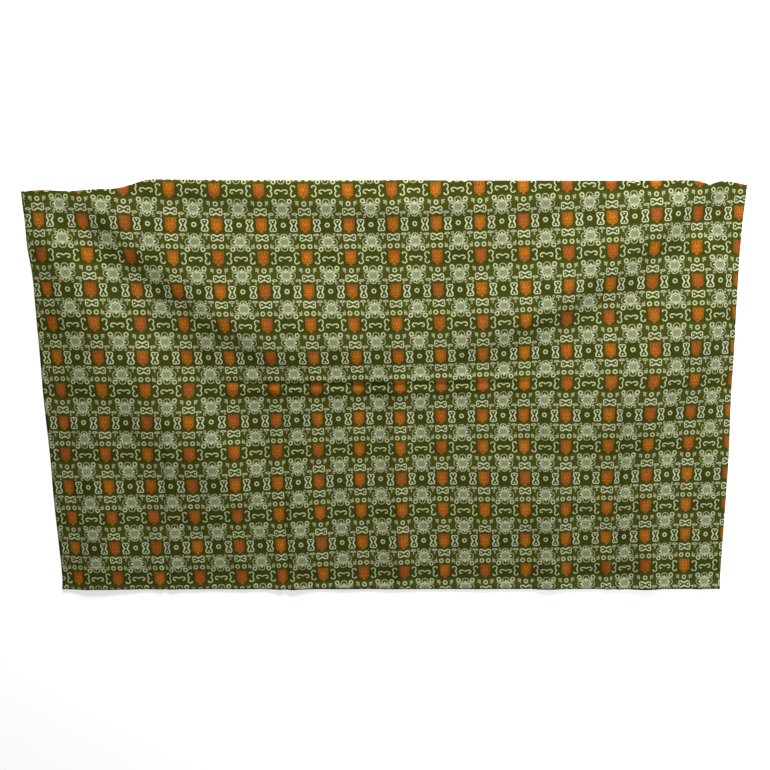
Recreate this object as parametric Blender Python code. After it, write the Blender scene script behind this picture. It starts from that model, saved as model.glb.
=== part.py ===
"""A longyi length: one rectangle of printed cotton, opened out on a flat surface.

Row frame: +X along the cloth's width, +Y towards its top edge, +Z up off the surface.
The origin is on the surface, under the middle of the cloth. All sizes are in metres.
"""

import math

import bpy
import numpy as np

# Driving dimensions.
CLOTH_WIDTH = 1.83  # two yards, the usual cut of a longyi, measured half way up
CLOTH_HEIGHT = 1.10  # one loom width
WALL = 0.0015  # the cloth, thickened to a wall

# Grid of the cloth wall.
COLUMNS = 60
ROWS = 34

# The side edges lean and bow a little. Offsets are from half the width, outwards.
SIDE_COLUMNS = ("height_share", "left_out", "right_out")
SIDES = (
    (0.00, -0.021, 0.014),
    (0.30, -0.012, 0.014),
    (0.55, -0.004, 0.007),
    (0.78, -0.001, 0.002),
    (0.90, 0.009, 0.004),
    (1.00, 0.014, 0.009),
)

# The top edge is turned under at its left end, and dips where each corner was held.
TURN_START_X = -0.590
TURN_FULL_X = -0.700
TURN_DROP = 0.0235
DIP_COLUMNS = ("x", "half_width", "drop")
TOP_DIPS = (
    (-0.935, 0.045, 0.006),
    (-0.808, 0.060, 0.0055),
    (0.823, 0.022, 0.009),
    (0.945, 0.050, 0.012),
)
BOTTOM_RISE_LEFT = 0.008  # the lower edge runs up a little towards the left

# Folds: each is a soft ridge whose crest runs from start to end, pulled towards bend.
# "left_width" is the reach of its slope on the left of that run, "right_width" on the right.
# "rise" is the share of its length over which it rises, given where that isn't FADE_IN.
FOLD_COLUMNS = ("name", "start", "bend", "end", "height", "left_width", "right_width", "rise")
FOLDS = (
    ("left_swag", (-0.85, 0.62), (-0.39, 0.035), (0.12, 0.05), 0.014, 0.140, 0.052),
    ("under_swag", (-0.52, 0.22), (-0.28, 0.03), (-0.02, -0.05), 0.009, 0.050, 0.110),
    ("right_swag", (0.89, 0.63), (0.49, 0.16), (0.00, 0.080), 0.015, 0.048, 0.120),
    ("left_fall", (-0.95, 0.47), (-0.65, 0.02), (-0.28, -0.42), 0.019, 0.095, 0.140),
    ("right_fall", (0.97, 0.34), (0.78, 0.09), (0.41, -0.22), 0.028, 0.130, 0.165),
    ("left_roll", (-0.80, -0.60), (-0.78, -0.20), (-0.82, 0.22), 0.009, 0.075, 0.110),
    ("belly", (-0.62, 0.28), (-0.20, 0.10), (0.22, 0.16), 0.012, 0.200, 0.085, 0.50),
    ("top_arc", (-0.70, 0.57), (0.05, 0.41), (0.75, 0.56), 0.007, 0.050, 0.034),
    ("bottom_swell", (0.05, -0.29), (0.45, -0.28), (0.88, -0.30), 0.013, 0.180, 0.150, 0.45),
    ("bottom_roll", (-0.99, -0.46), (0.00, -0.47), (0.99, -0.46), 0.003, 0.150, 0.055),
    ("left_upright", (-0.25, -0.60), (-0.250, -0.30), (-0.24, 0.08), 0.005, 0.020, 0.070),
    ("middle_upright", (0.03, -0.60), (0.040, 0.20), (0.035, 1.00), 0.010, 0.042, 0.030),
    ("right_upright", (0.45, -0.60), (0.450, -0.25), (0.46, 0.12), 0.008, 0.042, 0.045),
    ("edge_upright", (0.72, -0.60), (0.725, -0.28), (0.71, 0.15), 0.010, 0.048, 0.044),
    ("side_upright", (0.87, -0.60), (0.870, -0.30), (0.88, 0.10), 0.005, 0.030, 0.032),
)
FADE_IN = 0.10  # share of a fold's length over which it rises
FADE_OUT = 0.35  # share of its length over which it dies away
FOLD_STEPS = 40
CONTACT = 0.0025  # folds lower than this lie flat on the surface

# The folds die away towards the sides and the top edge, where the cloth was pressed down.
SIDE_REACH = 0.075
TOP_REACH = 0.120
TOP_SHARE = 0.5  # share of the way to full height already reached at the top edge
EDGE_SHARE = 0.12  # share of a fold's height that is left at the very edge

# The lower edge stands just clear of the surface.
EDGE_LIFT = 0.004
EDGE_LIFT_REACH = 0.040

CLOTH_GREEN = (0.10, 0.13, 0.04, 1.0)
CLOTH_ROUGHNESS = 0.85


def clear_scene():
    for item in list(bpy.data.objects):
        bpy.data.objects.remove(item, do_unlink=True)


def ease(share):
    """A smooth step from 0 to 1."""
    share = np.clip(share, 0.0, 1.0)
    return share * share * (3.0 - 2.0 * share)


def column_of(table, columns, name):
    index = columns.index(name)
    return np.array([row[index] for row in table])


def side_offset(height_share, side):
    """How far a side edge stands outside half the width, eased between the table's rows."""
    heights = column_of(SIDES, SIDE_COLUMNS, "height_share")
    offsets = column_of(SIDES, SIDE_COLUMNS, side)
    index = np.clip(np.searchsorted(heights, height_share) - 1, 0, len(heights) - 2)
    share = (height_share - heights[index]) / (heights[index + 1] - heights[index])
    return offsets[index] + (offsets[index + 1] - offsets[index]) * ease(share)


def top_edge(x):
    """The y of the top edge at x."""
    turned = ease((TURN_START_X - x) / (TURN_START_X - TURN_FULL_X))
    y = CLOTH_HEIGHT / 2 - TURN_DROP * turned
    for dip_x, half_width, drop in TOP_DIPS:
        y = y - drop * np.exp(-(((x - dip_x) / half_width) ** 2))
    return y


def bottom_edge(x):
    """The y of the lower edge at x."""
    return -CLOTH_HEIGHT / 2 + BOTTOM_RISE_LEFT * (0.5 - x / CLOTH_WIDTH)


def plan(across, up):
    """The place on the surface of a share across and a share up the cloth."""
    left = -CLOTH_WIDTH / 2 - side_offset(up, "left_out")
    right = CLOTH_WIDTH / 2 + side_offset(up, "right_out")
    x = left + (right - left) * across
    low = bottom_edge(x)
    y = low + (top_edge(x) - low) * up
    return x, y


def fold_path(start, bend, end):
    """Points along a fold's crest: a parabola from start to end, pulled towards bend."""
    share = np.linspace(0.0, 1.0, FOLD_STEPS + 1)[:, None]
    start, bend, end = (np.array(point) for point in (start, bend, end))
    return (1 - share) ** 2 * start + 2 * share * (1 - share) * bend + share**2 * end


def fold_height(x, y, start, bend, end, height, left_width, right_width, rise=FADE_IN):
    """The height that one fold gives at (x, y)."""
    path = fold_path(start, bend, end)
    nearest = np.full(x.shape, np.inf)
    along = np.zeros(x.shape)
    on_left = np.zeros(x.shape, dtype=bool)
    for step in range(FOLD_STEPS):
        here, run = path[step], path[step + 1] - path[step]
        to_x, to_y = x - here[0], y - here[1]
        share = np.clip((to_x * run[0] + to_y * run[1]) / (run @ run), 0.0, 1.0)
        gap = np.hypot(to_x - share * run[0], to_y - share * run[1])
        closer = gap < nearest
        nearest = np.where(closer, gap, nearest)
        along = np.where(closer, (step + share) / FOLD_STEPS, along)
        on_left = np.where(closer, run[0] * to_y - run[1] * to_x > 0, on_left)
    width = np.where(on_left, left_width, right_width)
    strength = height * ease(along / rise) * ease((1 - along) / FADE_OUT)
    return strength * np.exp(-((nearest / width) ** 2))


def cloth_lift(x, y, across, up):
    """How far the cloth's underside stands off the surface at (x, y)."""
    lift = np.zeros(x.shape)
    for _, *fold in FOLDS:
        lift += fold_height(x, y, *fold)
    lift = np.maximum(lift - CONTACT, 0.0)
    from_side = np.minimum(across, 1.0 - across) * CLOTH_WIDTH
    from_top = (1.0 - up) * CLOTH_HEIGHT
    kept = ease(from_side / SIDE_REACH) * ease(TOP_SHARE + from_top / TOP_REACH)
    lift *= EDGE_SHARE + (1.0 - EDGE_SHARE) * kept
    return lift + EDGE_LIFT * ease(1 - (y - bottom_edge(x)) / EDGE_LIFT_REACH) ** 2


def cloth_material():
    material = bpy.data.materials.new("printed_cotton")
    material.use_nodes = True
    shader = material.node_tree.nodes["Principled BSDF"]
    shader.inputs["Base Color"].default_value = CLOTH_GREEN
    shader.inputs["Roughness"].default_value = CLOTH_ROUGHNESS
    shader.inputs["Metallic"].default_value = 0.0
    return material


def build_cloth_panel():
    across, up = np.meshgrid(np.linspace(0, 1, COLUMNS + 1), np.linspace(0, 1, ROWS + 1))
    x, y = plan(across, up)
    lift = cloth_lift(x, y, across, up)
    under = np.stack([x, y, lift], axis=-1).reshape(-1, 3)
    over = under + np.array([0.0, 0.0, WALL])
    count = len(under)

    def corner(row, column):
        return row * (COLUMNS + 1) + column

    faces = []
    for row in range(ROWS):
        for column in range(COLUMNS):
            quad = (
                corner(row, column),
                corner(row, column + 1),
                corner(row + 1, column + 1),
                corner(row + 1, column),
            )
            faces.append(tuple(index + count for index in quad))
            faces.append(quad[::-1])
    rim = [corner(0, column) for column in range(COLUMNS)]
    rim += [corner(row, COLUMNS) for row in range(ROWS)]
    rim += [corner(ROWS, column) for column in range(COLUMNS, 0, -1)]
    rim += [corner(row, 0) for row in range(ROWS, 0, -1)]
    for here, after in zip(rim, rim[1:] + rim[:1]):
        faces.append((here, after, after + count, here + count))

    mesh = bpy.data.meshes.new("cloth_panel")
    mesh.from_pydata(np.concatenate([under, over]).tolist(), [], faces)
    mesh.materials.append(cloth_material())
    mesh.shade_smooth()
    mesh.set_sharp_from_angle(angle=math.radians(40))
    panel = bpy.data.objects.new("cloth_panel", mesh)
    bpy.context.collection.objects.link(panel)
    return panel


clear_scene()
build_cloth_panel()
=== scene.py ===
"""The looks of a longyi length, opened out on a pale surface.

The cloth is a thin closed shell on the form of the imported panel, with the folds that it
was laid with, and its print is drawn by shader nodes on the cloth's own cut. Metres, +Z up.
"""

import math

import bpy
import numpy as np
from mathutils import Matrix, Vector


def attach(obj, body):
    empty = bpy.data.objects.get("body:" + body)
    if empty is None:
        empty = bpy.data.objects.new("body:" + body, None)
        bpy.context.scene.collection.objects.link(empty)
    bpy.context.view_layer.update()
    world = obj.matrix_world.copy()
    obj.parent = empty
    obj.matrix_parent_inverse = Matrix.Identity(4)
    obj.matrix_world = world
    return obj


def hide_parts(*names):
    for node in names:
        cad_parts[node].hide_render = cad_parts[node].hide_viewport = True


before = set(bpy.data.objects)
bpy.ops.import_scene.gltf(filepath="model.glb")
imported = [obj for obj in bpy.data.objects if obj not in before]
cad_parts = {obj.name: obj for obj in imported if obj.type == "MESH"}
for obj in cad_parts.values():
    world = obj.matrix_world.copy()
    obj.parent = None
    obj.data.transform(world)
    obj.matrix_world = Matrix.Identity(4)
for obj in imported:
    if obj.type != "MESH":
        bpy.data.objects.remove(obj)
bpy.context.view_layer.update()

# ---------------------------------------------------------------- the cloth's own sizes
CLOTH_WIDTH = 1.83
CLOTH_HEIGHT = 1.10
CLOTH_THICKNESS = 0.0009
COLUMNS = 286
ROWS = 164

SIDE_COLUMNS = ("height_share", "left_out", "right_out")
SIDES = (
    (0.00, -0.021, 0.014),
    (0.30, -0.012, 0.014),
    (0.55, -0.004, 0.007),
    (0.78, -0.001, 0.002),
    (0.90, 0.009, 0.004),
    (1.00, 0.014, 0.009),
)
TURN_START_X = -0.590
TURN_FULL_X = -0.700
TURN_DROP = 0.0235
TOP_DIPS = (
    (-0.935, 0.045, 0.006),
    (-0.808, 0.060, 0.0055),
    (0.823, 0.022, 0.009),
    (0.945, 0.050, 0.012),
)
BOTTOM_RISE_LEFT = 0.008

# Folds: a soft ridge from start to end, pulled towards bend, with a slope on each side.
# "rise" is the share of its length over which it rises, given where that isn't FADE_IN.
FOLD_COLUMNS = ("name", "start", "bend", "end", "height", "left_width", "right_width", "rise")
FOLDS = (
    ("left_swag", (-0.85, 0.62), (-0.39, 0.035), (0.12, 0.05), 0.014, 0.140, 0.052),
    ("under_swag", (-0.52, 0.22), (-0.28, 0.03), (-0.02, -0.05), 0.009, 0.050, 0.110),
    ("right_swag", (0.89, 0.63), (0.49, 0.16), (0.00, 0.080), 0.015, 0.048, 0.120),
    ("left_fall", (-0.95, 0.47), (-0.65, 0.02), (-0.28, -0.42), 0.019, 0.095, 0.140),
    ("right_fall", (0.97, 0.34), (0.78, 0.09), (0.41, -0.22), 0.028, 0.130, 0.165),
    ("left_roll", (-0.80, -0.60), (-0.78, -0.20), (-0.82, 0.22), 0.009, 0.075, 0.110),
    ("belly", (-0.62, 0.28), (-0.20, 0.10), (0.22, 0.16), 0.012, 0.200, 0.085, 0.50),
    ("top_arc", (-0.70, 0.57), (0.05, 0.41), (0.75, 0.56), 0.007, 0.050, 0.034),
    ("bottom_swell", (0.05, -0.29), (0.45, -0.28), (0.88, -0.30), 0.013, 0.180, 0.150, 0.45),
    ("bottom_roll", (-0.99, -0.46), (0.00, -0.47), (0.99, -0.46), 0.003, 0.150, 0.055),
    ("left_upright", (-0.25, -0.60), (-0.250, -0.30), (-0.24, 0.08), 0.005, 0.020, 0.070),
    ("middle_upright", (0.03, -0.60), (0.040, 0.20), (0.035, 1.00), 0.010, 0.042, 0.030),
    ("right_upright", (0.45, -0.60), (0.450, -0.25), (0.46, 0.12), 0.008, 0.042, 0.045),
    ("edge_upright", (0.72, -0.60), (0.725, -0.28), (0.71, 0.15), 0.010, 0.048, 0.044),
    ("side_upright", (0.87, -0.60), (0.870, -0.30), (0.88, 0.10), 0.005, 0.030, 0.032),
)
FADE_IN = 0.10
FADE_OUT = 0.35
FOLD_STEPS = 40
CONTACT = 0.0025  # folds lower than this lie flat
SIDE_REACH = 0.075  # the folds die away towards the sides and the top edge
TOP_REACH = 0.120
TOP_SHARE = 0.5  # share of the way to full height already reached at the top edge
EDGE_SHARE = 0.12  # share of a fold's height that is left at the very edge
EDGE_LIFT = 0.004  # the lower edge stands just clear of the surface
EDGE_LIFT_REACH = 0.040

# Pressed creases, in the same columns: a narrow sunk line between two raised lips.
CREASES = (
    ("mid_height", (-0.50, 0.034), (0.03, 0.010), (0.62, 0.040), 0.0075, 0.009, 0.010),
    ("left_pressed", (-0.61, -0.60), (-0.604, -0.25), (-0.60, 0.10), 0.0055, 0.010, 0.011),
    ("left_middle", (-0.28, -0.60), (-0.278, -0.25), (-0.27, 0.30), 0.0060, 0.010, 0.010),
    ("right_pressed", (0.632, -0.60), (0.626, -0.25), (0.622, 0.10), 0.0075, 0.010, 0.010),
)
LIP_WIDTH = 2.4

# A slight unevenness of the whole cloth.
RIPPLE_COUNT = 36
RIPPLE_LENGTHS = (0.050, 0.160)
RIPPLE_SLOPE = 0.0075
RIPPLE_ROOM = 0.0008
RIPPLE_SEED = 11
CLEARANCE = 0.0002  # what is left under the lowest ripple

# ---------------------------------------------------------------- how the print lies
REPEAT_WIDTH = 0.1121  # from one shield column to the next
ROW_HEIGHT = 0.0858  # from one shield row to the next
PRINT_ORIGIN = (0.0355, 0.0192)  # a shield of the bracket row
PRINT_TURN = math.radians(1.19)
PRINT_LEAN = -0.019  # to the right for each metre upwards, from the height below
LEAN_FROM = -0.15
LEFT_LIFT = 0.020  # the print at the left side is drawn upwards, more towards the top
LEFT_LIFT_X = (-0.93, 0.33)
LEFT_LIFT_Y = (-0.60, 1.10)

# Where else the print is carried to the right or upwards. Each row has an amount, the
# windows along x and the windows along y that it acts in. A window is a kind, a place and
# a reach: "near" the place or "far" from it, "past" it or "short" of it. A negative reach
# looks the other way.
MOVED_RIGHT = (
    (-0.0080, (("near", -0.95, 0.50),), (("past", 0.20, 0.25),)),
    (0.0080, (("near", -0.38, 0.25),), (("near", -0.03, 0.20),)),
    (-0.0070, (("past", 0.60, 0.04),), (("past", 0.10, -0.10),)),
    (-0.0040, (("past", -0.62, 0.04),), (("past", 0.05, -0.10),)),
    (-0.0075, (("near", -0.68, 0.20),), (("past", 0.00, -0.14),)),
    (0.0040, (("near", 0.80, 0.16),), (("near", -0.07, 0.15),)),
    (0.0045, (("near", -0.10, 0.20),), (("near", -0.05, 0.14),)),
    (
        -0.0050,
        (("past", 0.30, 0.20), ("short", 0.73, 0.08)),
        (("past", 0.08, -0.10), ("short", -0.38, -0.10)),
    ),
    (-0.0080, (("near", 0.83, 0.06),), (("near", 0.13, 0.07),)),
    (0.0040, (("past", -0.50, -0.10),), (("past", 0.24, -0.10), ("short", -0.08, -0.10))),
)
MOVED_UP = (
    (-0.0070, (("near", 0.10, 0.42),), (("past", 0.00, 0.12),)),
    (0.0055, (("near", 0.00, 0.40),), (("near", -0.22, 0.15),)),
    (-0.0020, (), (("past", -0.38, -0.12),)),
    (0.0090, (("near", -0.90, 0.22),), (("past", -0.30, -0.22),)),
    (-0.0035, (("far", 0.02, 0.22),), (("past", -0.16, -0.12),)),
    (-0.0040, (("near", -0.25, 0.50),), (("past", 0.36, 0.10),)),
    (0.0025, (("past", 0.60, 0.10),), (("past", 0.10, 0.10),)),
    (0.0030, (("past", 0.30, 0.20),), (("near", -0.38, 0.12),)),
    (0.0040, (("near", 0.72, 0.06),), (("past", -0.08, -0.10),)),
)

# Deep folds that draw the print towards them from both sides.
TAKEN_UP_COLUMNS = ("start", "end", "amount", "reach")
TAKEN_UP = (
    ((-0.80, 0.50), (-0.38, 0.11), 0.0055, 0.075),
    ((0.86, 0.53), (0.34, 0.14), 0.0055, 0.090),
)
TAKEN_UP_MIDDLE = 0.45  # where along the fold it is strongest, and how far that goes
TAKEN_UP_SPREAD = 0.60
TAKEN_UP_RISE = 0.4  # share of the pull that acts upwards


def ease(share):
    """A smooth step from 0 to 1."""
    share = np.clip(share, 0.0, 1.0)
    return share * share * (3.0 - 2.0 * share)


def bump(value, middle, reach):
    """1 at the middle, dying away over the reach on both sides."""
    return np.exp(-(((value - middle) / reach) ** 2))


def window(value, kind, place, reach):
    """A weight from 0 to 1 along one direction of the cloth."""
    if kind in ("near", "far"):
        weight = bump(value, place, reach)
    else:
        weight = ease((value - place) / reach)
    return weight if kind in ("near", "past") else 1.0 - weight


def named(columns, row):
    """A table's row as keywords, without its name."""
    return {column: entry for column, entry in zip(columns, row) if column != "name"}


# ---------------------------------------------------------------- the cloth's form
def side_offset(height_share, side):
    """How far a side edge stands outside half the width, eased between the table's rows."""
    heights = np.array([row[0] for row in SIDES])
    offsets = np.array([row[SIDE_COLUMNS.index(side)] for row in SIDES])
    index = np.clip(np.searchsorted(heights, height_share) - 1, 0, len(heights) - 2)
    share = (height_share - heights[index]) / (heights[index + 1] - heights[index])
    return offsets[index] + (offsets[index + 1] - offsets[index]) * ease(share)


def top_edge(x):
    turned = ease((TURN_START_X - x) / (TURN_START_X - TURN_FULL_X))
    y = CLOTH_HEIGHT / 2 - TURN_DROP * turned
    for dip_x, half_width, drop in TOP_DIPS:
        y = y - drop * bump(x, dip_x, half_width)
    return y


def bottom_edge(x):
    return -CLOTH_HEIGHT / 2 + BOTTOM_RISE_LEFT * (0.5 - x / CLOTH_WIDTH)


def plan(across, up):
    """Where each point of the cloth lies, by its shares of the width and the height."""
    left = -CLOTH_WIDTH / 2 - side_offset(up, "left_out")
    right = CLOTH_WIDTH / 2 + side_offset(up, "right_out")
    x = left + (right - left) * across
    low = bottom_edge(x)
    y = low + (top_edge(x) - low) * up
    return x, y


def fold_path(start, bend, end):
    """Points along the crest, from start to end, pulled towards bend."""
    share = np.linspace(0.0, 1.0, FOLD_STEPS + 1)[:, None]
    start, bend, end = (np.array(point) for point in (start, bend, end))
    return (1 - share) ** 2 * start + 2 * share * (1 - share) * bend + share**2 * end


def fold_height(x, y, start, bend, end, height, left_width, right_width, rise=FADE_IN):
    path = fold_path(start, bend, end)
    nearest = np.full(x.shape, np.inf)
    along = np.zeros(x.shape)
    on_left = np.zeros(x.shape, dtype=bool)
    for step in range(FOLD_STEPS):
        here, run = path[step], path[step + 1] - path[step]
        to_x, to_y = x - here[0], y - here[1]
        share = np.clip((to_x * run[0] + to_y * run[1]) / (run @ run), 0.0, 1.0)
        gap = np.hypot(to_x - share * run[0], to_y - share * run[1])
        closer = gap < nearest
        nearest = np.where(closer, gap, nearest)
        along = np.where(closer, (step + share) / FOLD_STEPS, along)
        on_left = np.where(closer, run[0] * to_y - run[1] * to_x > 0, on_left)
    width = np.where(on_left, left_width, right_width)
    strength = height * ease(along / rise) * ease((1 - along) / FADE_OUT)
    return strength * np.exp(-((nearest / width) ** 2))


def crease_height(x, y, start, bend, end, height, left_width, right_width):
    """A ridge with a narrower one taken out of its middle."""
    lips = (LIP_WIDTH * left_width, LIP_WIDTH * right_width)
    sunk = fold_height(x, y, start, bend, end, height, left_width, right_width)
    return fold_height(x, y, start, bend, end, height, *lips) - sunk


def ripples(x, y):
    """Many weak waves in different directions, as laid cotton has."""
    random = np.random.default_rng(RIPPLE_SEED)
    height = np.zeros(x.shape)
    for _ in range(RIPPLE_COUNT):
        length = random.uniform(*RIPPLE_LENGTHS)
        heading = random.uniform(0.0, math.pi)
        phase = random.uniform(0.0, 2 * math.pi)
        along = x * math.cos(heading) + y * math.sin(heading)
        wave = np.sin(2 * math.pi * along / length + phase)
        height += RIPPLE_SLOPE * length / (2 * math.pi) * wave
    return height


def cloth_lift(x, y, across, up):
    """How far the cloth's lower face stands off the surface."""
    lift = np.zeros(x.shape)
    for fold in FOLDS:
        lift += fold_height(x, y, **named(FOLD_COLUMNS, fold))
    lift = np.maximum(lift - CONTACT, 0.0)
    for crease in CREASES:
        lift += crease_height(x, y, **named(FOLD_COLUMNS, crease))
    lift = np.maximum(lift + ripples(x, y) + RIPPLE_ROOM, 0.0)
    from_side = np.minimum(across, 1.0 - across) * CLOTH_WIDTH
    from_top = (1.0 - up) * CLOTH_HEIGHT
    inward = ease(from_side / SIDE_REACH) * ease(TOP_SHARE + from_top / TOP_REACH)
    lift *= EDGE_SHARE + (1.0 - EDGE_SHARE) * inward
    return CLEARANCE + lift + EDGE_LIFT * ease(1 - (y - bottom_edge(x)) / EDGE_LIFT_REACH) ** 2


def drift(table, x, y):
    """The sum of a table's amounts, each in its own windows."""
    total = np.zeros(x.shape)
    for amount, x_windows, y_windows in table:
        weight = amount
        for kind, place, reach in x_windows:
            weight = weight * window(x, kind, place, reach)
        for kind, place, reach in y_windows:
            weight = weight * window(y, kind, place, reach)
        total += weight
    return total


def taken_up(x, y, start, end, amount, reach):
    """How far the print is drawn towards a deep fold from both sides of it."""
    run = np.array(end) - np.array(start)
    length = np.hypot(*run)
    right, up = run / length
    along = ((x - start[0]) * right + (y - start[1]) * up) / length
    off = ((y - start[1]) * right - (x - start[0]) * up) / reach
    pull = -amount * off * np.exp(0.5 - off * off / 2)
    pull *= bump(along, TAKEN_UP_MIDDLE, TAKEN_UP_SPREAD)
    return -up * pull, TAKEN_UP_RISE * right * pull


def print_place(x, y):
    """Where on the flat print, in metres, the cloth at (x, y) comes from."""
    from_foot, foot_run = LEFT_LIFT_Y
    moved_up = LEFT_LIFT * bump(x, *LEFT_LIFT_X) * np.clip((y - from_foot) / foot_run, 0, 1)
    moved_up += drift(MOVED_UP, x, y)
    moved_right = PRINT_LEAN * (y - LEAN_FROM) + drift(MOVED_RIGHT, x, y)
    for fold in TAKEN_UP:
        right, up = taken_up(x, y, **named(TAKEN_UP_COLUMNS, fold))
        moved_right, moved_up = moved_right + right, moved_up + up
    x = x - moved_right - PRINT_ORIGIN[0]
    y = y - moved_up - PRINT_ORIGIN[1]
    cos, sin = math.cos(PRINT_TURN), math.sin(PRINT_TURN)
    return x * cos + y * sin, y * cos - x * sin


def build_cloth():
    across, up = np.meshgrid(np.linspace(0, 1, COLUMNS + 1), np.linspace(0, 1, ROWS + 1))
    x, y = plan(across, up)
    lift = cloth_lift(x, y, across, up)
    under = np.stack([x, y, lift], axis=-1).reshape(-1, 3)
    over = under + np.array([0.0, 0.0, CLOTH_THICKNESS])
    count = len(under)

    grid = np.arange(count).reshape(ROWS + 1, COLUMNS + 1)
    corners = [grid[:-1, :-1], grid[:-1, 1:], grid[1:, 1:], grid[1:, :-1]]
    quads = np.stack(corners, axis=-1).reshape(-1, 4)
    rim = np.concatenate([grid[0, :-1], grid[:-1, -1], grid[-1, :0:-1], grid[:0:-1, 0]])
    after = np.roll(rim, -1)
    edge = np.stack([rim, after, after + count, rim + count], axis=-1)
    faces = np.concatenate([quads + count, quads[:, ::-1], edge])

    mesh = bpy.data.meshes.new("longyi_cloth")
    mesh.from_pydata(np.concatenate([under, over]).tolist(), [], faces.tolist())
    print_u, print_v = print_place(x.ravel(), y.ravel())
    cut = np.stack([np.tile(print_u, 2), np.tile(print_v, 2)], axis=-1)
    layer = mesh.uv_layers.new(name="cut")
    layer.data.foreach_set("uv", cut[faces.ravel()].astype(np.float32).ravel())
    front = mesh.attributes.new("front", "FLOAT", "POINT")
    front.data.foreach_set("value", np.repeat([0.0, 1.0], count).astype(np.float32))
    mesh.shade_smooth()
    cloth = bpy.data.objects.new("longyi_cloth", mesh)
    bpy.context.collection.objects.link(cloth)
    return cloth


# ---------------------------------------------------------------- drawing with nodes
LINE_SOFTNESS = 0.9  # how wide the soft edge of a dyed line is
MIX_BASE, MIX_OVER, MIX_RESULT = 6, 7, 2  # the mix node's sockets for colours


class Field:
    """A number that varies over the cloth: a socket that arithmetic can be done on."""

    tree = None

    def __init__(self, socket):
        self.socket = socket

    def __add__(self, other):
        return math_node("ADD", self, other)

    def __sub__(self, other):
        return math_node("SUBTRACT", self, other)

    def __rsub__(self, other):
        return math_node("SUBTRACT", other, self)

    def __mul__(self, other):
        return math_node("MULTIPLY", self, other)

    def __abs__(self):
        return math_node("ABSOLUTE", self)

    def __neg__(self):
        return math_node("MULTIPLY", self, -1.0)


def feed(socket, value):
    """Connects a field to a socket, or sets the socket's own number."""
    if isinstance(value, Field):
        Field.tree.links.new(value.socket, socket)
    else:
        socket.default_value = value


def math_node(operation, *values, clamp=False):
    node = Field.tree.nodes.new("ShaderNodeMath")
    node.operation = operation
    node.use_clamp = clamp
    for socket, value in zip(node.inputs, values):
        feed(socket, value)
    return Field(node.outputs[0])


def vector_node(operation, *values, result="Vector"):
    node = Field.tree.nodes.new("ShaderNodeVectorMath")
    node.operation = operation
    for socket, value in zip(node.inputs, values):
        feed(socket, value)
    return Field(node.outputs[result])


def point(x, y):
    node = Field.tree.nodes.new("ShaderNodeCombineXYZ")
    feed(node.inputs["X"], x)
    feed(node.inputs["Y"], y)
    return Field(node.outputs["Vector"])


def lowest(first, *others):
    for other in others:
        first = math_node("MINIMUM", first, other)
    return first


def highest(first, *others):
    for other in others:
        first = math_node("MAXIMUM", first, other)
    return first


# Shapes are distances in millimetres to their outline: below zero inside, above outside.
def distance(place, x, y):
    return vector_node("DISTANCE", place, (x, y, 0.0), result="Value")


def disc(place, x, y, radius):
    return distance(place, x, y) - radius


def ring(place, x, y, radius, half_line):
    return abs(distance(place, x, y) - radius) - half_line


def stroke(place, start, end, half_line):
    """A straight line with round ends."""
    run = Vector((end[0] - start[0], end[1] - start[1], 0.0))
    to_place = vector_node("SUBTRACT", place, (*start, 0.0))
    share = vector_node("DOT_PRODUCT", to_place, tuple(run / run.length_squared), result="Value")
    share = math_node("ADD", share, 0.0, clamp=True)
    node = Field.tree.nodes.new("ShaderNodeVectorMath")
    node.operation = "SCALE"
    node.inputs[0].default_value = run
    feed(node.inputs["Scale"], share)
    gap = vector_node("DISTANCE", to_place, Field(node.outputs["Vector"]), result="Value")
    return gap - half_line


def polyline(place, corners, half_line):
    """Straight lines with round ends, from corner to corner."""
    return lowest(*(stroke(place, *ends, half_line) for ends in zip(corners, corners[1:])))


def ink(shape, softness=LINE_SOFTNESS):
    """1 inside a shape and 0 outside, with the soft edge that dye has."""
    return math_node("MULTIPLY_ADD", shape, -1.0 / softness, 0.5, clamp=True)


def paint(base, colour, amount):
    """Base with a colour laid over it by an amount from 0 to 1."""
    node = Field.tree.nodes.new("ShaderNodeMix")
    node.data_type = "RGBA"
    feed(node.inputs["Factor"], amount)
    feed(node.inputs[MIX_BASE], base)
    feed(node.inputs[MIX_OVER], colour)
    return Field(node.outputs[MIX_RESULT])


# ---------------------------------------------------------------- the print
MILLIMETRES = 1000.0
HALF_REPEAT = REPEAT_WIDTH * MILLIMETRES / 2
ROW = ROW_HEIGHT * MILLIMETRES

# Where the motifs stand, in millimetres from the shield column and the row of upright bones.
UPRIGHT_BONE_X = 29.6
LEVEL_BONE_Y = 34.4
MEDALLION_Y = 41.4
ROW_RING_DROP = 1.5
PAIR_RING = (36.9, 60.2)
COLUMN_RING = (0.0, 53.8)
RING_RADIUS = 4.8
RING_HALF_LINE = 1.6
SHIELD_DROP = 1.3
MOUSTACHE_DROP = 1.2
SCROLL_ROOM = 20.0
BAND_HALF_HEIGHT = 19.0

# How far the motifs beneath the upright bones lie from the mirror of those above them, to
# the side and away from that row.
LEVEL_BONE_SHIFT = (0.0, -2.0)
MEDALLION_SHIFT = (0.0, 1.8)
PAIR_RING_SHIFT = (0.0, 2.4)
COLUMN_RING_SHIFT = (9.0, 1.6)
LEAF_SHIFT = (1.0, -4.4)
DROP_SHIFT = (5.4, 11.0)
TWIG_SHIFT = (6.4, 0.0)

# The bone-shaped frame: its half width and half length inside its round corners.
BONE_CORE = (4.6, 11.2)
BONE_ROUND = 4.8
BONE_LINE = 2.4
BONE_WAIST = (3.2, 0.075)  # depth, and how fast it opens along the bone
HOURGLASS = (1.5, 0.55)  # half width in the middle, and how fast it widens
BONE_DOT = (10.0, 2.1)  # distance from the middle, and radius

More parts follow.
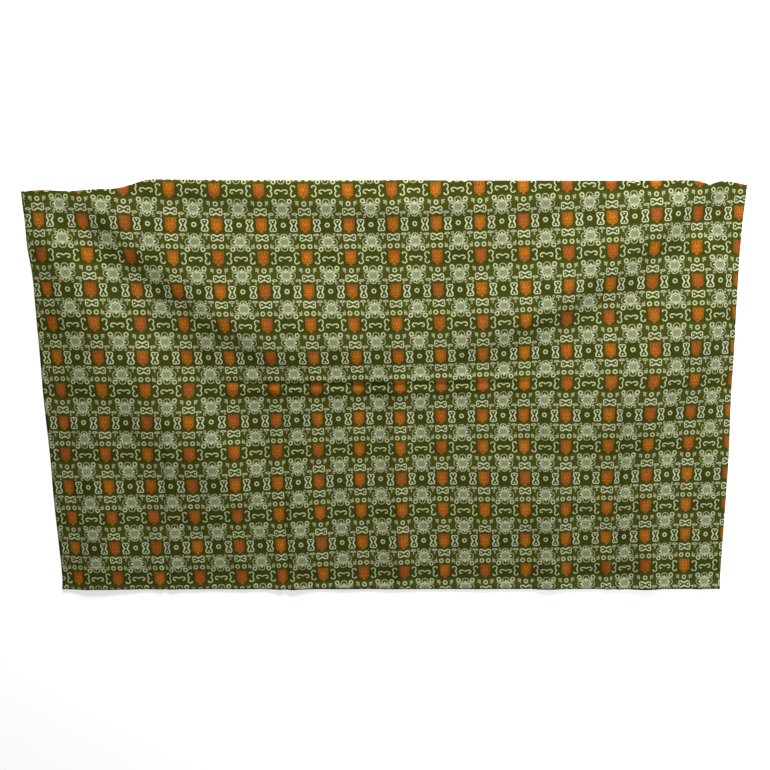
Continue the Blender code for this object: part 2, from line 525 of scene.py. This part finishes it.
# The shield: its half width, the reach of its shoulder, its top, its foot and its tip.
SHIELD_HALF_WIDTH = 12.6
SHIELD_SHOULDER = 15.9
SHIELD_TOP = 16.6
SHIELD_FOOT = 14.6
SHIELD_TIP = (3.2, 12.0, 19.8)  # half width, from, to
SHIELD_LEAN = 0.03
SHOULDER_SLOPE = (0.80, 0.62)
SIDE_TEETH = (5.6, 1.3)  # pitch and depth
TOP_TEETH = (5.2, 1.1)
TEETH_SHARES = (0.7, 0.6, 0.5)  # how much of them the flank, the shoulder and the tip have
INNER_BORDER = (3.4, 0.9)  # how far in, and half the line

# The medallion: a star, its inner ring and spokes, and a point at each side of it.
STAR_RADIUS = 11.9
STAR_POINTS = 8.0
STAR_DEPTH = 0.6
RIM_HALF_LINE = 0.95
SPIKE = (11.0, 0.6, 12.0)  # half width at the middle, how fast it narrows, where it starts
NIB = (11.0, 0.6, 14.4)
SPOKES = (18.0, 8.4, 2.4, 0.1)  # count, middle radius, half length, thickness
INNER_RING = (4.9, 0.6)
CORE_RADIUS = 1.9

# The thin lines of the motifs, from each motif's own middle. Each row is a kind of line and
# its sizes: a stroke's two ends or a bent line's corners, or else a ring's middle and radius
# or an oval's middle, half width and half height, and then half the line's thickness.
SHIELD_LINES = (
    ("oval", 0.0, -0.8, 3.8, 7.4, 1.2),
    ("stroke", (7.0, -9.6), (7.6, -7.2), 1.2),
    ("stroke", (7.0, 3.6), (6.4, 5.8), 1.1),
    ("stroke", (0.0, 10.6), (0.0, 13.4), 0.9),
    ("stroke", (0.0, -12.6), (0.0, -10.4), 0.9),
)
BRACKET = (
    ("bent", ((20.8, 10.6), (23.2, 13.6), (28.8, 13.8), (32.0, 10.8)), 1.25),
    ("bent", ((32.0, 10.8), (32.0, 4.6), (28.8, 0.2)), 1.4),
    ("disc", 21.7, 10.4, 1.9),
)
MOUSTACHE = (
    ("bent", ((0.0, 1.6), (5.2, -1.6), (12.0, -1.9), (15.6, 1.0)), 1.45),
    ("bent", ((15.6, 1.0), (15.4, 5.8), (11.6, 7.9)), 1.2),
    ("disc", 10.5, 6.7, 1.8),
)
STAR_RINGS = (("ring", 0.0, 11.0, 3.2, 0.8),)
LOOPS = (
    ("oval", 0.0, 17.6, 8.0, 6.8, 0.85),
    ("oval", 0.0, -15.4, 7.4, 5.6, 1.0),
    ("oval", 16.6, 0.0, 6.8, 7.6, 0.85),
    ("oval", 16.0, -18.8, 2.4, 3.6, 0.9),
    ("ring", 11.8, -12.4, 2.9, 1.0),
    ("ring", 12.4, 11.6, 3.0, 0.85),
    ("stroke", (11.0, 10.2), (24.0, 10.4), 0.8),
)
LEAF = (
    ("oval", 26.0, 29.2, 5.0, 2.2, 1.0),
    ("stroke", (18.2, 29.6), (21.0, 29.4), 0.9),
)
DROP = (("oval", 21.6, 22.0, 1.4, 2.6, 1.0),)
TWIG = (
    ("stroke", (15.4, 49.0), (14.6, 58.4), 1.0),
    ("stroke", (14.6, 58.8), (21.6, 59.8), 1.1),
    ("ring", 19.0, 54.8, 1.9, 0.9),
)

# Inking: how uneven it is, and how wide the soft edges of the dye are.
WOBBLE = 2.4
SHIELD_SOFTNESS = 5.2
SHIELD_SPREAD = 0.3
RUST_SOFTNESS = 1.2
RUST_STRENGTH = 0.85
INNER_STRENGTH = 0.75
WORN = (1.35, 0.85)  # the most ink, and how much of it the grain takes away
SPECKLED = (1.36, 1.2)
ORANGE_CONTRAST = 5.0
ORANGE_OFFSET = -2.0
BAND_DARKNESS = (8.0, 0.45)  # softness and strength
TONE_DARKNESS = 0.6
SHIELD_SURROUND = (2.5, 4.0, 0.7)  # reach, softness and strength of the darker green
SHOW_THROUGH = 0.62  # how far the back is washed out

# Noises: the scale, in cells for each metre, and the detail.
WOBBLE_NOISE = (240.0, 2.0)
TONE_NOISE = (9.0, 3.0)
GRAIN_NOISE = (380.0, 2.0)
SPECKLE_NOISE = (290.0, 1.0)
INKING_NOISE = (13.0, 1.0)

GROUND_DARK = (0.033, 0.037, 0.0035, 1.0)
GROUND_LIGHT = (0.060, 0.069, 0.0075, 1.0)
CREAM = (0.53, 0.56, 0.355, 1.0)
SOFT_CREAM = (0.46, 0.49, 0.28, 1.0)
PALE_LINE = (0.41, 0.43, 0.27, 1.0)
GREY_GREEN = (0.130, 0.142, 0.078, 1.0)
ORANGE = (0.58, 0.180, 0.013, 1.0)
BRICK = (0.44, 0.108, 0.019, 1.0)
RUST = (0.13, 0.034, 0.005, 1.0)
BACK_OF_CLOTH = (0.16, 0.17, 0.09, 1.0)
COTTON_ROUGHNESS = 0.95
COTTON_SPECULAR = 0.04


def oval(place, x, y, across, up, half_line):
    """An oval outline, by its half width and half height."""
    squeezed = vector_node("SUBTRACT", place, (x, y, 0.0))
    squeezed = vector_node("MULTIPLY", squeezed, (up / across, 1.0, 0.0))
    return ring(squeezed, 0.0, 0.0, up, half_line)


LINE_KINDS = {"stroke": stroke, "bent": polyline, "disc": disc, "ring": ring, "oval": oval}


def drawn(place, lines):
    """The lines of a table, drawn about their own middle."""
    return lowest(*(LINE_KINDS[kind](place, *sizes) for kind, *sizes in lines))


def waves(value, pitch, depth):
    return math_node("SINE", value * (2 * math.pi / pitch)) * depth


def shifted(x, y, below, shift):
    """x and y, moved where the motif is beneath the row of upright bones."""
    aside, away = shift
    return (x - below * aside if aside else x), (y - below * away if away else y)


def bone(along, off):
    """A bone-shaped frame with an hourglass cut out and a dot in each end.

    along and off are the distances from its middle, along and across its length.
    """
    waist, opening = BONE_WAIST
    half_width, half_length = BONE_CORE
    narrow, widening = HOURGLASS
    dot_place, dot_radius = BONE_DOT
    notch = highest(waist - along * along * opening, 0.0)
    beyond = point(highest(off + notch - half_width, 0.0), highest(along - half_length, 0.0))
    outside = vector_node("LENGTH", beyond, result="Value") - BONE_ROUND
    inside = highest(outside + BONE_LINE, off - along * widening - narrow)
    dot = disc(point(off, along), 0.0, dot_place, dot_radius)
    return lowest(highest(outside, -inside), dot)


def shield_shapes(x, signed):
    """The shield's outline and the rust lines inside it."""
    side_teeth = waves(signed, *SIDE_TEETH)
    flank_share, shoulder_share, tip_share = TEETH_SHARES
    slope_x, slope_y = SHOULDER_SLOPE
    flank = x + signed * SHIELD_LEAN + side_teeth * flank_share - SHIELD_HALF_WIDTH
    shoulder = x * slope_x + signed * slope_y + side_teeth * shoulder_share - SHIELD_SHOULDER
    top = waves(x, *TOP_TEETH) - signed - SHIELD_TOP
    body = highest(flank, shoulder, top, signed - SHIELD_FOOT)
    half_width, tip_from, tip_to = SHIELD_TIP
    tip = highest(x + side_teeth * tip_share - half_width, signed - tip_to, tip_from - signed)
    inward, half_line = INNER_BORDER
    lines = lowest(abs(body + inward) - half_line, drawn(point(x, signed), SHIELD_LINES))
    return lowest(body, tip), lines


def scroll_shapes(x, signed, from_medallion):
    """The brackets beside the shield, and the moustache between two brackets."""
    bracket = drawn(point(x, abs(signed)), BRACKET)
    moustache = drawn(point(from_medallion, signed + MOUSTACHE_DROP), MOUSTACHE)
    return lowest(bracket, moustache)


def wedge(along, off, half_width, narrowing, start):
    """A point that narrows outwards from where it starts."""
    return highest(off + along * narrowing - half_width, start - along)


def medallion_shapes(from_medallion, towards):
    """The round medallion: its filled star, its bold rim, its inner lines and thin loops.

    towards is the distance from its middle towards the bracket row.
    """
    place = point(from_medallion, towards)
    mirrored = abs(towards)
    from_middle = distance(place, 0.0, 0.0)
    turn = math_node("ARCTAN2", towards, from_medallion)
    star = from_middle - math_node("COSINE", turn * STAR_POINTS) * STAR_DEPTH - STAR_RADIUS
    rim = lowest(
        abs(star) - RIM_HALF_LINE,
        wedge(from_medallion, mirrored, *SPIKE),
        wedge(mirrored, from_medallion, *NIB),
        drawn(point(from_medallion, mirrored), STAR_RINGS),
    )
    count, middle, half_length, thickness = SPOKES
    spokes = thickness - math_node("SINE", turn * count)
    spokes = highest(abs(from_middle - middle) - half_length, spokes)
    radius, half_line = INNER_RING
    inner_ring = abs(from_middle - radius) - half_line
    inner_lines = lowest(inner_ring, spokes, from_middle - CORE_RADIUS)
    return star, rim, inner_lines, highest(drawn(place, LOOPS), -star)


def sprig_shapes(x, y, below):
    """Small sprigs beside the shield: an outlined leaf with a drop, and a budding twig."""
    sprigs = ((LEAF, LEAF_SHIFT), (DROP, DROP_SHIFT), (TWIG, TWIG_SHIFT))
    return lowest(*(drawn(point(*shifted(x, y, below, shift)), lines) for lines, shift in sprigs))


def noise(vector, scale, detail):
    """A noise of the cloth's own place, as a number and as a colour."""
    node = Field.tree.nodes.new("ShaderNodeTexNoise")
    node.inputs["Scale"].default_value = scale
    node.inputs["Detail"].default_value = detail
    feed(node.inputs["Vector"], vector)
    return Field(node.outputs["Fac"]), Field(node.outputs["Color"])


def cotton_material():
    material = bpy.data.materials.new("printed_cotton")
    material.use_nodes = True
    tree = material.node_tree
    Field.tree = tree
    shader = tree.nodes["Principled BSDF"]

    cut = tree.nodes.new("ShaderNodeUVMap")
    cut.uv_map = "cut"
    metres = Field(cut.outputs["UV"])
    _, wobble = noise(metres, *WOBBLE_NOISE)
    wobble = vector_node("SUBTRACT", wobble, (0.5, 0.5, 0.5))
    wobble = vector_node("MULTIPLY", wobble, (WOBBLE, WOBBLE, 0.0))
    millimetres = vector_node("MULTIPLY", metres, (MILLIMETRES, -MILLIMETRES, 0.0))
    millimetres = vector_node("ADD", millimetres, wobble)
    split = tree.nodes.new("ShaderNodeSeparateXYZ")
    feed(split.inputs[0], millimetres)
    across = Field(split.outputs["X"])
    down = Field(split.outputs["Y"])

    # x from the shield column, y from the row of upright bones, both mirrored. below is 1
    # beneath that row and 0 above it, where a motif isn't quite the mirror of the other.
    x = math_node("PINGPONG", across, HALF_REPEAT)
    from_row = math_node("WRAP", down - ROW, ROW, -ROW)
    y = abs(from_row)
    below = math_node("GREATER_THAN", from_row, 0.0)
    signed = math_node("WRAP", down, ROW / 2, -ROW / 2)
    from_medallion = HALF_REPEAT - x
    from_bracket_row = ROW - y

    upright_bone = bone(y, abs(x - UPRIGHT_BONE_X))
    bone_x, bone_y = shifted(x, y, below, LEVEL_BONE_SHIFT)
    bones = lowest(upright_bone, bone(bone_x, abs(bone_y - LEVEL_BONE_Y)))
    ring_places = (
        (point(x, from_row + ROW_RING_DROP), HALF_REPEAT, 0.0),
        (point(*shifted(x, y, below, PAIR_RING_SHIFT)), *PAIR_RING),
        (point(*shifted(x, y, below, COLUMN_RING_SHIFT)), *COLUMN_RING),
    )
    rings = lowest(*(ring(*entry, RING_RADIUS, RING_HALF_LINE) for entry in ring_places))
    scrolls = scroll_shapes(x, signed, from_medallion)
    scrolls = highest(scrolls, from_bracket_row - SCROLL_ROOM)
    aside, away = shifted(from_medallion, y, below, MEDALLION_SHIFT)
    star, rim, inner_lines, loops = medallion_shapes(aside, away - MEDALLION_Y)
    sprigs = sprig_shapes(x, y, below)
    outline, rust_lines = shield_shapes(x, signed + SHIELD_DROP)

    # Colours, from the ground up.
    tone, _ = noise(metres, *TONE_NOISE)
    grain, _ = noise(metres, *GRAIN_NOISE)
    speckle, _ = noise(metres, *SPECKLE_NOISE)
    inking, _ = noise(metres, *INKING_NOISE)
    softness, strength = BAND_DARKNESS
    band = ink(lowest(y, from_bracket_row) - BAND_HALF_HEIGHT, softness) * strength
    reach, softness, strength = SHIELD_SURROUND
    surround = ink(outline - reach, softness) * strength
    ground = paint(GROUND_LIGHT, GROUND_DARK, band + tone * TONE_DARKNESS)
    ground = paint(ground, GROUND_DARK, surround)

    most, taken = WORN
    worn = most - grain * taken
    most, taken = SPECKLED
    speckled = most - speckle * taken
    brick = math_node("MULTIPLY_ADD", inking, ORANGE_CONTRAST, ORANGE_OFFSET, clamp=True)
    orange = paint(ORANGE, BRICK, brick)
    shield_ink = ink(outline + SHIELD_SPREAD, SHIELD_SOFTNESS) * speckled
    rust_ink = ink(highest(rust_lines, outline), RUST_SOFTNESS) * RUST_STRENGTH
    colour = paint(ground, GREY_GREEN, ink(star))
    colour = paint(colour, PALE_LINE, ink(highest(inner_lines, star)) * worn * INNER_STRENGTH)
    colour = paint(colour, PALE_LINE, ink(lowest(loops, sprigs)) * worn)
    colour = paint(colour, SOFT_CREAM, ink(lowest(rings, scrolls)) * worn)
    colour = paint(colour, CREAM, ink(lowest(bones, rim)) * worn)
    colour = paint(colour, orange, shield_ink)
    colour = paint(colour, RUST, rust_ink)

    front = tree.nodes.new("ShaderNodeAttribute")
    front.attribute_name = "front"
    at_back = SHOW_THROUGH - Field(front.outputs["Fac"]) * SHOW_THROUGH
    colour = paint(colour, BACK_OF_CLOTH, at_back)

    feed(shader.inputs["Base Color"], colour)
    shader.inputs["Roughness"].default_value = COTTON_ROUGHNESS
    shader.inputs["Specular IOR Level"].default_value = COTTON_SPECULAR
    return material


# ---------------------------------------------------------------- the studio
CAMERA_PLACE = (-0.021, 0.225, 1.583)
CAMERA_TILT = math.radians(-7.25)
CAMERA_ROLL = math.radians(-0.58)
CAMERA_LENS = 28.05
FLOOR_HALF = 6.0
FLOOR_COLOUR = (0.92, 0.92, 0.92, 1.0)
FLOOR_ROUGHNESS = 0.9
FLOOR_GLOW = 0.45
LIGHT_TARGET = (0.1, 0.0, 0.0)
LIGHT_SIZE = 1.0
LIGHT_COLUMNS = ("name", "place", "power", "colour")
LIGHTS = (
    ("key", (0.35, 2.8, 1.3), 165.0, (1.0, 0.98, 0.92)),
    ("side", (2.9, -0.3, 1.3), 44.0, (0.88, 0.95, 1.0)),
)
WORLD_STRENGTH = 0.22
WHITE = (1.0, 1.0, 1.0, 1.0)


def build_camera():
    data = bpy.data.cameras.new("camera")
    data.lens = CAMERA_LENS
    camera = bpy.data.objects.new("camera", data)
    camera.location = CAMERA_PLACE
    camera.rotation_euler = (CAMERA_TILT, CAMERA_ROLL, 0.0)
    bpy.context.collection.objects.link(camera)
    bpy.context.scene.camera = camera


def build_floor():
    """A pale surface that glows a little, so that it stays white around the cloth."""
    half = FLOOR_HALF
    corners = [(-half, -half, 0), (half, -half, 0), (half, half, 0), (-half, half, 0)]
    mesh = bpy.data.meshes.new("floor")
    mesh.from_pydata(corners, [], [(0, 1, 2, 3)])
    floor = bpy.data.objects.new("floor", mesh)
    material = bpy.data.materials.new("pale_floor")
    material.use_nodes = True
    shader = material.node_tree.nodes["Principled BSDF"]
    shader.inputs["Base Color"].default_value = FLOOR_COLOUR
    shader.inputs["Roughness"].default_value = FLOOR_ROUGHNESS
    shader.inputs["Emission Color"].default_value = WHITE
    shader.inputs["Emission Strength"].default_value = FLOOR_GLOW
    mesh.materials.append(material)
    bpy.context.collection.objects.link(floor)


def area_light(name, place, power, colour):
    data = bpy.data.lights.new(name, "AREA")
    data.shape = "SQUARE"
    data.size = LIGHT_SIZE
    data.energy = power
    data.color = colour
    light = bpy.data.objects.new(name, data)
    light.location = place
    towards = Vector(LIGHT_TARGET) - Vector(place)
    light.rotation_euler = towards.to_track_quat("-Z", "Y").to_euler()
    bpy.context.collection.objects.link(light)


def build_studio():
    build_camera()
    build_floor()
    for row in LIGHTS:
        area_light(**dict(zip(LIGHT_COLUMNS, row)))
    world = bpy.data.worlds.new("studio")
    world.use_nodes = True
    background = world.node_tree.nodes["Background"]
    background.inputs["Color"].default_value = WHITE
    background.inputs["Strength"].default_value = WORLD_STRENGTH
    bpy.context.scene.world = world
    bpy.context.scene.view_settings.view_transform = "Standard"


cloth = build_cloth()
cloth.data.materials.append(cotton_material())
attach(cloth, "root")
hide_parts("cloth_panel")
build_studio()
